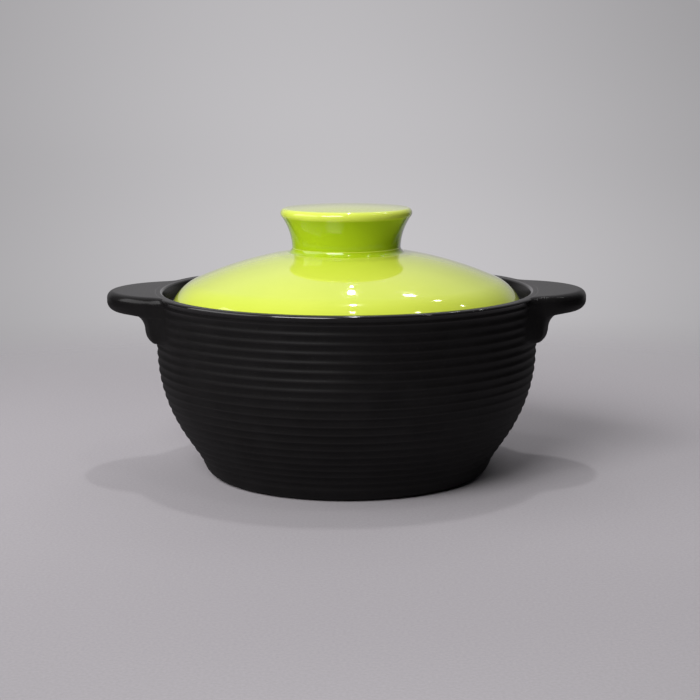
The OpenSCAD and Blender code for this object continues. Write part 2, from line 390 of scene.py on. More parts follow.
def under_seat_p(throat_low, in_top):
    """Where the leaning underside of the seat meets the line of the inner wall."""
    under = (sin(radians(SEAT_UNDER_LEAN)), -cos(radians(SEAT_UNDER_LEAN)))
    up = (sin(radians(FLARE)), cos(radians(FLARE)))
    gap = sub(in_top, throat_low)
    way = (gap[0] * up[1] - gap[1] * up[0]) / (under[0] * up[1] - under[1] * up[0])
    return add(throat_low, under, way)


def pot_section():
    """From the axis over the inside floor and up, over seat and rim, down the ribs and under the foot."""
    inner_r = BOWL_R - WALL_T
    in_top = add(BOWL_C, out_dir(FLARE), inner_r)
    in_end = add(BOWL_C, out_dir(BOWL_LEAN), inner_r)
    in_low = add(in_end, down_dir(BOWL_LEAN), (in_end[1] - FLOOR_Z) / cos(radians(BOWL_LEAN)))
    throat_low = (THROAT_R, SEAT_Z - THROAT_H)
    inside = rounded([(0.0, FLOOR_Z), in_low, in_end], [0, FLOOR_EDGE_R, 0])
    bowl = arc(BOWL_C, inner_r, radians(-BOWL_LEAN), radians(-FLARE))
    top = rounded(
        [
            bowl[-1],
            under_seat_p(throat_low, in_top),
            throat_low,
            (THROAT_R, SEAT_Z),
            (SEAT_R, SEAT_Z),
            (RIM_IN_R, POT_H),
            (RIM_R, POT_H),
            add(RIM_P, down_dir(FLARE), RIM_EDGE_R + WALL_TOP_GAP),
        ],
        [0, UNDER_EDGE_R, THROAT_EDGE_R, THROAT_EDGE_R, SEAT_EDGE_R, RIM_IN_EDGE_R, RIM_EDGE_R, 0],
        RIM_STEP,
    )
    foot = arc(FOOT_C, FOOT_EDGE_R, radians(-FOOT_LEAN), -pi / 2, EDGE_STEP)
    ring_in = FOOT_C[0] - RING_W
    base = rounded(
        [(FOOT_C[0], 0.0), (ring_in, 0.0), (ring_in - RING_H, RING_H), (0.0, RING_H)],
        [0, RING_EDGE_R, 2 * RING_EDGE_R, 0],
    )
    return inside[:-1] + bowl + top[1:-1] + outer_wall() + foot + base[1:]


# The crown of the lid takes the radius at which it runs into the shoulder without a break.
CROWN_Z = SEAT_Z + CROWN_H
TURN_R = LID_R - sqrt(SHOULDER_R ** 2 - SHOULDER_DROP ** 2)
SHOULDER_C = (TURN_R, SEAT_Z - SHOULDER_DROP)
RISE = CROWN_H + SHOULDER_DROP
DOME_R = (TURN_R ** 2 + RISE ** 2 - SHOULDER_R ** 2) / (2 * (RISE - SHOULDER_R))
DOME_Z = CROWN_Z - DOME_R
DOME_C = (0.0, DOME_Z)
KNOB_ROOM_R = KNOB_WAIST_R - KNOB_T


def dome_height(radius, drop=0.0):
    return DOME_Z + sqrt((DOME_R - drop) ** 2 - radius ** 2)


def lid_section():
    """A closed loop: out over the crown, round the shoulder, under the seat and up inside."""
    turn = bearing(DOME_C, SHOULDER_C)
    crown = arc(DOME_C, DOME_R, acos(KNOB_ROOM_R / DOME_R), turn, WIDE_STEP)
    low = asin((SEAT_Z - SHOULDER_C[1]) / SHOULDER_R)
    shoulder = arc(SHOULDER_C, SHOULDER_R, turn, low + SHOULDER_SHORT, SIDE_STEP)
    edge_p = (SHOULDER_C[0] + SHOULDER_R * cos(low), SEAT_Z)
    room_r = FLANGE_R - FLANGE_T
    low_z = SEAT_Z - FLANGE_H
    under_r = DOME_R - LID_T
    under = arc(DOME_C, under_r, acos(room_r / under_r), acos(KNOB_ROOM_R / under_r), WIDE_STEP)
    flange = [(FLANGE_R, SEAT_Z), (FLANGE_R, low_z), (room_r, low_z)]
    foot = rounded(
        [shoulder[-1], edge_p, *flange, under[0], under[UNDER_ROWS]],
        [0, LID_EDGE_R, FLANGE_ROOT_R, FLANGE_EDGE_R, FLANGE_EDGE_R, LID_UNDER_R, 0],
        EDGE_STEP,
    )
    hole = filled([under[-1], (KNOB_ROOM_R, dome_height(KNOB_ROOM_R))], LONG_STEP)
    return crown + shoulder[1:] + foot[1:-1] + under[UNDER_ROWS + 1:] + hole[1:-1]


def knob_section():
    """From the axis down inside the room, under the foot, up the hollowed side and over the top."""
    knob_z = SEAT_Z + KNOB_H
    rim_r = KNOB_R - KNOB_EDGE_R
    top_c = (0.0, knob_z - KNOB_TOP_R)
    top_in = KNOB_TOP_R - KNOB_EDGE_R
    rim_c = (rim_r, top_c[1] + sqrt(top_in ** 2 - rim_r ** 2))
    side_x = KNOB_WAIST_R + KNOB_SIDE_R
    side_z = rim_c[1] - sqrt((KNOB_SIDE_R + KNOB_EDGE_R) ** 2 - (rim_r - side_x) ** 2)
    side_c = (side_x, side_z)
    to_rim = bearing(side_c, rim_c)
    to_top = bearing(top_c, rim_c)
    side = arc(side_c, KNOB_SIDE_R, pi, to_rim, SIDE_STEP)
    rim = arc(rim_c, KNOB_EDGE_R, to_rim - pi, to_top, KNOB_EDGE_STEP)
    top = arc(top_c, KNOB_TOP_R, to_top, pi / 2, LONG_STEP)
    waist_z = dome_height(KNOB_WAIST_R)
    seat_p = (KNOB_WAIST_R, waist_z - KNOB_SINK)
    slope = unit((waist_z - DOME_Z, -KNOB_WAIST_R))
    foot = rounded(
        [add(seat_p, slope, KNOB_FOOT_RUN), seat_p, (KNOB_WAIST_R, side_z)],
        [0, KNOB_FOOT_R, 0],
        FILLET_STEP,
    )
    foot_out_r = KNOB_WAIST_R + KNOB_FOOT_R + KNOB_FOOT_SPILL
    foot_low = [p for p in foot if KNOB_WAIST_R + HAIR < p[0] < foot_out_r]
    room_top = (rim_r - KNOB_T, knob_z - KNOB_T)
    room_low = (KNOB_ROOM_R + HAIR, dome_height(KNOB_ROOM_R, KNOB_ROOM_DROP))
    room = rounded(
        [(0.0, room_top[1]), room_top, (KNOB_ROOM_R, side_z), room_low],
        [0, KNOB_ROOM_EDGE_R, 0, 0],
    )
    base_end = sub(foot_low[0], (KNOB_BASE_IN, KNOB_BASE_DROP))
    base = filled([room[-1], base_end], LONG_STEP)
    return room + base[1:] + foot_low + side + rim[1:] + top[1:]


def mesh_object(name, bm, material):
    mesh = bpy.data.meshes.new(name)
    bm.to_mesh(mesh)
    bm.free()
    mesh.materials.append(material)
    obj = bpy.data.objects.new(name, mesh)
    bpy.context.scene.collection.objects.link(obj)
    return obj


def new_piece(name, bm, material, body, node):
    """A smooth piece that moves with a body and takes the place of a node of the frame."""
    obj = mesh_object(name, bm, material)
    for poly in obj.data.polygons:
        poly.use_smooth = True
    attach(obj, body)
    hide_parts(node)
    return obj


def turn_of(section, i, closed):
    """How far the section bends at a point, per millimetre: the sign says to which side."""
    n = len(section)
    if not closed and (i == 0 or i == n - 1):
        return 0.0
    a, b, c = section[i - 1], section[i], section[(i + 1) % n]
    d1, d2 = sub(b, a), sub(c, b)
    way = (hypot(*d1) + hypot(*d2)) / 2
    bend = atan2(d1[0] * d2[1] - d1[1] * d2[0], d1[0] * d2[0] + d1[1] * d2[1])
    return bend / max(way, LEAST_WAY)


def thinness(bend):
    """How sharply the section bends: above zero on outer edges, where the glaze pulls thin, below zero in
    hollows.
    """
    return max(-1.0, min(1.0, BEND_SCALE * bend))


def lathe(name, section, closed, material, body, node, around, outward, wave=None):
    """Turns a section about the upright axis, with single corners on the axis.

    outward is 1 where the section bends to the left at outer edges, and -1 where it bends to the right.
    """
    bm = bmesh.new()
    thin = bm.verts.layers.float.new("thin")
    rings = []
    for i, (r, z) in enumerate(section):
        level = thinness(outward * turn_of(section, i, closed))
        on_axis = r < LEAST_STEP
        ring = []
        for k in range(1 if on_axis else around):
            a = 2 * pi * k / around
            reach = 0.0 if on_axis else r + (wave(r, z, a) if wave else 0.0)
            v = bm.verts.new((reach * cos(a) * MM, reach * sin(a) * MM, z * MM))
            v[thin] = level
            ring.append(v)
        rings.append(ring)
    pairs = list(zip(rings, rings[1:]))
    if closed:
        pairs.append((rings[-1], rings[0]))
    for low, high in pairs:
        for k in range(around):
            j = (k + 1) % around
            corners = [low[k % len(low)], low[j % len(low)], high[j % len(high)], high[k % len(high)]]
            face = list(dict.fromkeys(corners))
            if len(face) > 2:
                bm.faces.new(face)
    bmesh.ops.recalc_face_normals(bm, faces=bm.faces)
    return new_piece(name, bm, material, body, node)


# Handles: sections in planes through the upright axis of the lug's plan circle.
def wall_way(theta, radius):
    """Way from the lug axis to a circle about the pot axis, in a direction measured from +X."""
    return -LUG_X * cos(theta) + sqrt(radius ** 2 - (LUG_X * sin(theta)) ** 2)


def root(z):
    """Where the plan curve that joins lug and wall starts and ends, in radians, and the wall's radius."""
    wall = wall_radius(z) - ROOT_SINK
    a, b = wall + ROOT_R, LUG_R + ROOT_R
    turn = acos((a * a + LUG_X ** 2 - b * b) / (2 * a * LUG_X))
    start = atan2(a * sin(turn), a * cos(turn) - LUG_X)
    end = atan2(wall * sin(turn), wall * cos(turn) - LUG_X)
    return start, end, wall


def lug_side(theta, z):
    """Way from the lug axis to its side: a circle, the curve into the wall, then just under the ribs."""
    start, end, wall = root(z)
    turn = abs(theta)
    if turn <= start:
        return LUG_R
    if turn >= end:
        return wall_way(theta, wall - ROOT_DIVE * smooth((turn - end) / ROOT_RUN))
    past = turn - start
    b = LUG_R + ROOT_R
    return b * cos(past) - sqrt(max(0.0, ROOT_R ** 2 - (b * sin(past)) ** 2))


SIDE_LOW_Z = LUG_LOW_Z + LUG_LOW_R
WEB_TOP_Z = LUG_LOW_Z - WEB_EDGE_R
WEB_LOW_Z = WEB_Z + WEB_LOW_R


def softer(a, b, room):
    """The smaller of two, with a soft change over."""
    k = max(0.0, min(1.0, 0.5 + (b - a) / (2 * room)))
    return b + (a - b) * k - room * k * (1 - k)


def web_way(theta, z):
    """Way from the lug axis to the front of the bracket, which leans in below its top."""
    radius = WEB_R - max(0.0, WEB_TOP_Z - z) * tan(radians(WEB_LEAN))
    return softer(lug_side(theta, z), wall_way(theta, radius), WEB_SOFT)


def quarter(rows, first=0):
    """Angles of a quarter turn in radians, divided into rows."""
    return [pi / 2 * i / rows for i in range(first, rows + 1)]


def slab_top(theta, edge):
    """From inside the rim over the flat top and its rounded edge down the side of the slab."""
    top_in = wall_way(theta, RIM_R - RIM_EDGE_R - TOP_IN)
    top_on = min(wall_way(theta, RIM_R - RIM_EDGE_R + TOP_ON), edge - TOP_LEAST_W)
    flat_end = max(edge - LUG_TOP_R, top_on)
    top_r = edge - flat_end
    top_z = POT_H + TOP_PROUD
    points = [(top_in, POT_H - TOP_IN_DROP)]
    for i in range(FLAT_ROWS + 1):
        points.append((top_on + (flat_end - top_on) * i / FLAT_ROWS, top_z))
    for a in quarter(EDGE_ROWS, 1):
        z = top_z - LUG_TOP_R * (1 - cos(a))
        points.append((flat_end + top_r * sin(a) + lug_side(theta, z) - edge, z))
    for i in range(1, SIDE_ROWS):
        z = POT_H - LUG_TOP_R + (SIDE_LOW_Z - POT_H + LUG_TOP_R) * i / SIDE_ROWS
        points.append((lug_side(theta, z), z))
    return points


def slab_under(theta, edge):
    """Under the slab the edge turns in, runs level and turns down the bracket.

    Where the two sides come together the turn stretches into one soft bend.
    """
    width = max(0.0, edge - softer(edge, wall_way(theta, WEB_R), WEB_SOFT))
    both = LUG_LOW_R + WEB_EDGE_R
    a1, a2 = min(LUG_LOW_R, width * LUG_LOW_R / both), min(WEB_EDGE_R, width * WEB_EDGE_R / both)
    turned = []
    for a in quarter(TURN_ROWS):
        turned.append((a1 * (1 - cos(a)), SIDE_LOW_Z - LUG_LOW_R * sin(a)))
    for i in range(1, LEVEL_ROWS + 1):
        turned.append((a1 + (width - a1 - a2) * i / LEVEL_ROWS, LUG_LOW_Z))
    for a in quarter(TURN_ROWS, 1):
        turned.append((width - a2 * (1 - sin(a)), LUG_LOW_Z - WEB_EDGE_R * (1 - cos(a))))
    sharp = smooth(width / both)
    points = []
    for inset, z in turned:
        soft_inset = width * smooth((SIDE_LOW_Z - z) / (SIDE_LOW_Z - WEB_TOP_Z))
        points.append((lug_side(theta, z) - inset * sharp - soft_inset * (1 - sharp), z))
    return points


def bracket(theta):
    """Down the front of the bracket, round its lower edge and back up inside the wall."""
    points = []
    for i in range(1, WEB_ROWS):
        z = WEB_TOP_Z + (WEB_LOW_Z - WEB_TOP_Z) * i / WEB_ROWS
        points.append((web_way(theta, z), z))
    wall_low = wall_way(theta, wall_radius(WEB_Z) - LUG_EMBED)
    for a in quarter(EDGE_ROWS):
        z = WEB_LOW_Z - WEB_LOW_R * sin(a)
        way = web_way(theta, z)
        edge_r = min(WEB_LOW_R, max(WEB_LEAST_W, way - wall_low - WEB_LEAST_W))
        points.append((way - edge_r * (1 - cos(a)), z))
    points.append((wall_low, WEB_Z))
    for i in range(1, BACK_ROWS + 1):
        z = WEB_Z + (POT_H - BACK_DROP - WEB_Z) * i / BACK_ROWS
        points.append((wall_way(theta, wall_radius(z) - LUG_EMBED), z))
    return points


def lug(name, side, material, body, node):
    """A handle on one side of the pot, from sections side by side."""
    bm = bmesh.new()
    thin = bm.verts.layers.float.new("thin")
    end = root(WEB_Z)[1] + ROOT_RUN
    rings = []
    for i in range(LUG_COLUMNS + 1):
        k = 2 * i / LUG_COLUMNS - 1
        theta = end * (k + COLUMN_CROWDING * sin(pi * k))
        edge = lug_side(theta, POT_H)
        section = slab_top(theta, edge) + slab_under(theta, edge) + bracket(theta)
        ring = []
        for j, (w, z) in enumerate(section):
            v = bm.verts.new((side * (LUG_X + w * cos(theta)) * MM, w * sin(theta) * MM, z * MM))
            v[thin] = thinness(-turn_of(section, j, True))
            ring.append(v)
        rings.append(ring)
    size = len(rings[0])
    for a, b in zip(rings, rings[1:]):
        for j in range(size):
            bm.faces.new((a[j], a[(j + 1) % size], b[(j + 1) % size], b[j]))
    bm.faces.new(rings[0])
    bm.faces.new(list(reversed(rings[-1])))
    bmesh.ops.recalc_face_normals(bm, faces=bm.faces)
    return new_piece(name, bm, material, body, node)


# Small helpers for node trees. The colour sockets of a Mix node share their names, so they go by place.
MIX_A = 6
MIX_B = 7
MIX_RESULT = 2
NOISE_ROUGHNESS = 0.55


def node_tree(name):
    material = bpy.data.materials.new(name)
    material.use_nodes = True
    tree = material.node_tree
    return material, tree, tree.nodes["Principled BSDF"]


def link(tree, source, target):
    tree.links.new(source, target)


def coordinates(tree, kind):
    return tree.nodes.new("ShaderNodeTexCoord").outputs[kind]


def axes_of(tree, place):
    """The X, Y and Z of a place or a direction."""
    split = tree.nodes.new("ShaderNodeSeparateXYZ")
    link(tree, place, split.inputs["Vector"])
    return split.outputs


def noise(tree, place, scale, detail):
    node = tree.nodes.new("ShaderNodeTexNoise")
    node.inputs["Scale"].default_value = scale
    node.inputs["Detail"].default_value = detail
    node.inputs["Roughness"].default_value = NOISE_ROUGHNESS
    link(tree, place, node.inputs["Vector"])
    return node.outputs["Fac"]


def spread(tree, value, low, high, from_low=0.0, from_high=1.0):
    """A straight run from low to high while the value goes through its own range."""
    node = tree.nodes.new("ShaderNodeMapRange")
    node.inputs["From Min"].default_value = from_low
    node.inputs["From Max"].default_value = from_high
    node.inputs["To Min"].default_value = low
    node.inputs["To Max"].default_value = high
    link(tree, value, node.inputs["Value"])
    return node.outputs["Result"]


def eased(tree, value, low, high, from_low, from_high):
    """A soft run from low to high."""
    result = spread(tree, value, low, high, from_low, from_high)
    result.node.interpolation_type = "SMOOTHSTEP"
    return result


def scaled(tree, colour, level):
    node = tree.nodes.new("ShaderNodeVectorMath")
    node.operation = "SCALE"
    node.inputs[0].default_value = colour
    link(tree, level, node.inputs["Scale"])
    return node.outputs["Vector"]


def math_node(tree, operation, a, b=0.0):
    node = tree.nodes.new("ShaderNodeMath")
    node.operation = operation
    for socket, value in zip(node.inputs, (a, b)):
        if isinstance(value, (int, float)):
            socket.default_value = value
        else:
            link(tree, value, socket)
    return node.outputs["Value"]


def mixed(tree, share, a, b):
    node = tree.nodes.new("ShaderNodeMix")
    node.data_type = "RGBA"
    link(tree, share, node.inputs["Factor"])
    for socket, value in ((node.inputs[MIX_A], a), (node.inputs[MIX_B], b)):
        if isinstance(value, tuple):
            socket.default_value = (*value, 1.0)
        else:
            link(tree, value, socket)
    return node.outputs[MIX_RESULT]


def bumped(tree, height, strength, distance, under=None):
    node = tree.nodes.new("ShaderNodeBump")
    node.inputs["Strength"].default_value = strength
    node.inputs["Distance"].default_value = distance
    link(tree, height, node.inputs["Height"])
    if under is not None:
        link(tree, under, node.inputs["Normal"])
    return node.outputs["Normal"]


def thin_share(tree, low, high):
    """0 to 1 while the thinness of the glaze goes from low to high."""
    node = tree.nodes.new("ShaderNodeAttribute")
    node.attribute_name = "thin"
    return spread(tree, node.outputs["Fac"], 0.0, 1.0, low, high)


# Black glaze: colours, then noises as (scale, detail), then ranges that they are read over.
BLACK = (0.0070, 0.0065, 0.0067)
BLACK_THIN = (0.0100, 0.0093, 0.0095)
BLACK_DEEP = (0.0048, 0.0044, 0.0045)
BLACK_SPECK = (0.05, 0.047, 0.046)
BISCUIT = (0.20, 0.165, 0.13)
BISCUIT_PALE = (0.26, 0.22, 0.18)
BLACK_CLOUD = (55.0, 4.0)
BLACK_GRAIN = (900.0, 2.0)
BLACK_SPECKS = (2600.0, 1.0)
BLACK_SWELL = (260.0, 2.0)
CLOUD_RANGE = (0.35, 0.65)
SPECK_RANGE = (0.68, 0.78)
SPECK_SHARE = 0.5
CREST_RANGE = (0.1, 0.9)
CREST_SHARE = 0.75
ROUGH_CLOUD_RANGE = (0.3, 0.7)
ROUGH_BY_CLOUD = 0.04
ROUGH_BY_GRAIN = (0.36, 0.48)
ROUGH_BY_BISCUIT = 0.4
# Clear coat on the satin wall, on the gloss of rim and handle tops, and what its thin edges add.
COAT_SATIN = 0.22
COAT_GLOSS = 0.48
COAT_EDGE = 0.5
DULL_SATIN = 0.42
DULL_GLOSS = 0.20
DULL_EDGE = 0.10
EDGE_RANGE = (0.5, 0.95)
# Metres: the wall turns from satin to gloss between these heights, and the ring is bare below the others.
GLOSS_HEIGHTS = (0.0945, 0.1005)
BARE_HEIGHTS = (0.0003, 0.0006)
BARE_RAGGED = 0.00012
# Bumps as (strength, distance).
BLACK_SWELL_BUMP = (0.35, 0.00012)
BLACK_GRAIN_BUMP = (0.4, 0.00003)


def black_glaze():
    """Satin black glaze: faint mottling, fine grain, a little paler on the crests, bare ring below."""
    material, tree, shader = node_tree("black_glaze")
    place = coordinates(tree, "Object")
    axes = axes_of(tree, place)
    cloud = noise(tree, place, *BLACK_CLOUD)
    grain = noise(tree, place, *BLACK_GRAIN)
    specks = noise(tree, place, *BLACK_SPECKS)
    crest = math_node(tree, "MULTIPLY", thin_share(tree, *CREST_RANGE), CREST_SHARE)
    colour = mixed(tree, spread(tree, cloud, 0.0, 1.0, *CLOUD_RANGE), BLACK_DEEP, BLACK)
    colour = mixed(tree, crest, colour, BLACK_THIN)
    colour = mixed(tree, spread(tree, specks, 0.0, SPECK_SHARE, *SPECK_RANGE), colour, BLACK_SPECK)
    ragged = spread(tree, grain, -BARE_RAGGED, BARE_RAGGED)
    bare = spread(tree, math_node(tree, "ADD", axes["Z"], ragged), 1.0, 0.0, *BARE_HEIGHTS)
    colour = mixed(tree, bare, colour, mixed(tree, grain, BISCUIT, BISCUIT_PALE))
    link(tree, colour, shader.inputs["Base Color"])
    by_cloud = spread(tree, cloud, -ROUGH_BY_CLOUD, ROUGH_BY_CLOUD, *ROUGH_CLOUD_RANGE)
    rough = math_node(tree, "ADD", by_cloud, spread(tree, grain, *ROUGH_BY_GRAIN))
    rough = math_node(tree, "ADD", rough, math_node(tree, "MULTIPLY", bare, ROUGH_BY_BISCUIT))
    link(tree, rough, shader.inputs["Roughness"])
    shader.inputs["Specular IOR Level"].default_value = 0.0
    gloss = eased(tree, axes["Z"], 0.0, 1.0, *GLOSS_HEIGHTS)
    edge = math_node(tree, "MULTIPLY", gloss, thin_share(tree, *EDGE_RANGE))
    coat = spread(tree, gloss, COAT_SATIN, COAT_GLOSS)
    coat = math_node(tree, "ADD", coat, spread(tree, edge, 0.0, COAT_EDGE))
    link(tree, coat, shader.inputs["Coat Weight"])
    dull = spread(tree, gloss, DULL_SATIN, DULL_GLOSS)
    dull = math_node(tree, "SUBTRACT", dull, spread(tree, edge, 0.0, DULL_EDGE))
    link(tree, dull, shader.inputs["Coat Roughness"])
    swell = bumped(tree, noise(tree, place, *BLACK_SWELL), *BLACK_SWELL_BUMP)
    link(tree, bumped(tree, grain, *BLACK_GRAIN_BUMP, swell), shader.inputs["Normal"])
    return material


# Green glaze, in the same order.
GREEN = (0.580, 0.675, 0.064)
# The deeper tone serves random mottling, and painted shade in hollows such as the knob's side.
GREEN_DEEP_AND_SHADE = (0.385, 0.540, 0.010)
GREEN_THIN = (0.70, 0.81, 0.11)
GREEN_CLOUD = (30.0, 3.0)
GREEN_GRAIN = (700.0, 2.0)
GREEN_SWELL = (90.0, 2.0)
GREEN_RIPPLE = (420.0, 2.0)
GREEN_CLOUD_RANGE = (0.3, 0.7)
GREEN_CLOUD_SHARE = 0.15
GREEN_THIN_RANGE = (0.05, 0.7)
GREEN_THIN_SHARE = 0.8
GREEN_HOLLOW_SHADE_RANGE = (-0.01, -0.05)
GREEN_ROUGH = (0.10, 0.20)
GREEN_SPECULAR = 0.05
GREEN_COAT_ROUGHNESS = 0.025
GREEN_COAT_IOR = 1.5
GREEN_SWELL_BUMP = (0.25, 0.00025)
GREEN_RIPPLE_BUMP = (0.15, 0.00006)


def green_glaze():
    """Glossy lime glaze, paler where it pulls thin over an edge, with painted shade in hollows such as the
    knob's side.
    """
    material, tree, shader = node_tree("green_glaze")
    place = coordinates(tree, "Object")
    cloud = noise(tree, place, *GREEN_CLOUD)
    grain = noise(tree, place, *GREEN_GRAIN)
    thin = math_node(tree, "MULTIPLY", thin_share(tree, *GREEN_THIN_RANGE), GREEN_THIN_SHARE)
    colour = mixed(tree, spread(tree, cloud, 0.0, GREEN_CLOUD_SHARE, *GREEN_CLOUD_RANGE), GREEN, GREEN_DEEP_AND_SHADE)
    colour = mixed(tree, thin, colour, GREEN_THIN)
    # Painted shade: hollows, the knob's hollowed side among them, take the deeper tone.
    colour = mixed(tree, thin_share(tree, *GREEN_HOLLOW_SHADE_RANGE), colour, GREEN_DEEP_AND_SHADE)
    link(tree, colour, shader.inputs["Base Color"])
    link(tree, spread(tree, grain, *GREEN_ROUGH), shader.inputs["Roughness"])
    shader.inputs["Specular IOR Level"].default_value = GREEN_SPECULAR
    shader.inputs["Coat Weight"].default_value = 1.0
    shader.inputs["Coat Roughness"].default_value = GREEN_COAT_ROUGHNESS
    shader.inputs["Coat IOR"].default_value = GREEN_COAT_IOR
    swell = bumped(tree, noise(tree, place, *GREEN_SWELL), *GREEN_SWELL_BUMP)
    ripple = bumped(tree, noise(tree, place, *GREEN_RIPPLE), *GREEN_RIPPLE_BUMP, swell)
    link(tree, ripple, shader.inputs["Normal"])
    return material


def wall_wave(r, z, a):
    """Moves a point of the pot in or out, by its radius, height and direction in radians.

    The wall is slightly uneven, always inwards, where it stands wide and at the foot. The ribs fade out
    where a bracket joins on.
    """
    if r < RIM_IN_R - WALL_T and z > FLOOR_Z:
        return 0.0
    uneven = sum(share * (sin(n * a + phase + slant * z) - 1.0) for n, phase, slant, share in UNEVEN_WAVES)
    offset = UNEVEN * uneven * smooth((POT_H - UNEVEN_DROP - z) / UNEVEN_RUN)
    hollow = wall_radius(z) - r if WEB_Z - JOIN_DROP < z < POT_H - LIP_H else 0.0
    if 0.0 < hollow < 2 * RIB_DEPTH:
        turned = degrees(acos(min(1.0, abs(cos(a)))))
        beside = smooth((JOIN_END - turned) / JOIN_RUN)
        offset += hollow * beside * smooth((z - WEB_Z + JOIN_DROP) / JOIN_RISE)
    return offset


BLACK_MATERIAL = black_glaze()
GREEN_MATERIAL = green_glaze()


def pot():
    lathe(
        "bowl", pot_section(), False, BLACK_MATERIAL, "pot", "pot_body",
        POT_AROUND, outward=-1.0, wave=wall_wave,
    )


def handles():
    lug("lug_left", -1, BLACK_MATERIAL, "pot", "left_handle")
    lug("lug_right", 1, BLACK_MATERIAL, "pot", "right_handle")


def lid():
    lathe(
        "crown", lid_section(), True, GREEN_MATERIAL, "lid", "lid_shell",
        LID_AROUND, outward=-1.0,
    )


def knob():
    lathe(
        "knob", knob_section(), False, GREEN_MATERIAL, "lid", "lid_knob",
        KNOB_AROUND, outward=1.0,
    )


# Floor: rings of faces that grow outwards, and painted shade that darkens its tone towards the viewer.
FLOOR_TONE = (0.378, 0.360, 0.378)
FLOOR_MOTTLE = 0.05
FLOOR_NOISE = (700.0, 2.0)
FLOOR_NOISE_RANGE = (0.3, 0.7)
FLOOR_NEAR_PAINTED_SHADE = 0.14
FLOOR_NEAR_Y = -0.30
FLOOR_ROUGHNESS = 0.9
FLOOR_SPECULAR = 0.1
FLOOR_FADE = (0.25, 0.65)
FLOOR_FIRST_R = 0.12
FLOOR_GROWTH = 1.16
FLOOR_RINGS = 30
FLOOR_AROUND = 96


def floor_material():
    material, tree, shader = node_tree("floor")
    place = coordinates(tree, "Object")
    axes = axes_of(tree, place)
    fine = spread(tree, noise(tree, place, *FLOOR_NOISE), 0.0, 1.0, *FLOOR_NOISE_RANGE)
    dark = tuple((1 - FLOOR_MOTTLE) * v for v in FLOOR_TONE)
    pale = tuple((1 + FLOOR_MOTTLE) * v for v in FLOOR_TONE)
    # Painted shade: the floor darkens towards the viewer.
    near = eased(tree, axes["Y"], FLOOR_NEAR_PAINTED_SHADE, 0.0, FLOOR_NEAR_Y, 0.0)
    tone = mixed(tree, near, mixed(tree, fine, dark, pale), (0.0, 0.0, 0.0))
    link(tree, tone, shader.inputs["Base Color"])
    shader.inputs["Roughness"].default_value = FLOOR_ROUGHNESS
    shader.inputs["Specular IOR Level"].default_value = FLOOR_SPECULAR
    # Far from the object the floor runs out into the background without an edge.
    away = tree.nodes.new("ShaderNodeVectorMath")
    away.operation = "LENGTH"
    link(tree, place, away.inputs[0])
    link(tree, eased(tree, away.outputs["Value"], 1.0, 0.0, *FLOOR_FADE), shader.inputs["Alpha"])
    return material


def floor():
    bm = bmesh.new()
    middle = bm.verts.new((0, 0, 0))
    turns = [2 * pi * i / FLOOR_AROUND for i in range(FLOOR_AROUND)]
    last = None
    for k in range(FLOOR_RINGS):
        r = FLOOR_FIRST_R * FLOOR_GROWTH ** k
        ring = [bm.verts.new((r * cos(a), r * sin(a), 0)) for a in turns]
        for i in range(FLOOR_AROUND):
            j = (i + 1) % FLOOR_AROUND
            inner = (middle,) if last is None else (last[j], last[i])
            bm.faces.new((*inner, ring[i], ring[j]))
        last = ring
    mesh_object("floor", bm, floor_material())


# World: soft pale parts of the room, as (turned from straight behind the pot, raised, narrow, bright).
ROOM_TONE = (1.0, 0.985, 1.015)
ROOM_LEVEL = 0.02
ROOM_PARTS = (
    (-8.0, 36.0, 9.0, 0.62),
    (0.0, 4.0, 25.0, 0.45),
    (-60.0, 64.0, 9.0, 0.26),
    (35.0, 40.0, 14.0, 0.28),
    (0.0, 76.0, 9.0, 0.40),
)
# Backdrop: its tone, its level in the middle and at the sides, where painted shade darkens it, and how far
# aside the sides are.
BACK_TONE = (1.0, 0.978, 1.010)
BACK_LEVEL = 0.527
BACK_SHADED_SIDE_LEVEL = 0.33
BACK_ASIDE = 0.34
# The middle's way aside, and factors on the level, as (low, high, from height, to height), which paint
# shade where the backdrop would turn up from the floor and light higher up.
BACK_MIDDLE = (0.005, -0.030, -0.13, 0.06)
BACK_PAINTED_LIGHT_BANDS = (
    (0.97, 1.08, -0.20, -0.12),
    (1.0, 0.93, -0.12, -0.04),
    (1.0, 1.22, 0.045, 0.14),
    (1.0, 0.93, -0.04, 0.06),
)
# What the glaze mirrors is the backdrop where it stands: straight behind, and low.
MIRROR_BEHIND = (0.66, 0.88)
MIRROR_HEIGHT = (0.25, 0.55)


def unit_way(turn, height):
    """A direction turned from straight behind the pot and raised, in degrees."""
    a, e = radians(turn), radians(height)
    return (cos(e) * sin(a), cos(e) * cos(a), sin(e))


def room_colour(tree, way):
    """The light of the room: a low level with soft pale parts."""
    level = ROOM_LEVEL
    for turn, height, narrow, bright in ROOM_PARTS:
        near = tree.nodes.new("ShaderNodeVectorMath")
        near.operation = "DOT_PRODUCT"
        link(tree, way, near.inputs[0])
        near.inputs[1].default_value = unit_way(turn, height)
        fall = math_node(tree, "MULTIPLY", math_node(tree, "SUBTRACT", near.outputs["Value"], 1.0), narrow)
        part = math_node(tree, "MULTIPLY", math_node(tree, "EXPONENT", fall), bright)
        level = math_node(tree, "ADD", part, level)
    return scaled(tree, ROOM_TONE, level)


def backdrop_colour(tree, axes):
    """A pale backdrop behind, with painted shade to the sides and where it would turn up from the floor,
    and painted light higher up.
    """
    middle = eased(tree, axes["Z"], *BACK_MIDDLE)
    aside = math_node(tree, "ABSOLUTE", math_node(tree, "SUBTRACT", axes["X"], middle))
    # Painted shade towards the sides, then painted light and shade by height.
    shade = eased(tree, aside, BACK_LEVEL, BACK_SHADED_SIDE_LEVEL, 0.0, BACK_ASIDE)
    for band in BACK_PAINTED_LIGHT_BANDS:
        shade = math_node(tree, "MULTIPLY", shade, eased(tree, axes["Z"], *band))
    return scaled(tree, BACK_TONE, shade)


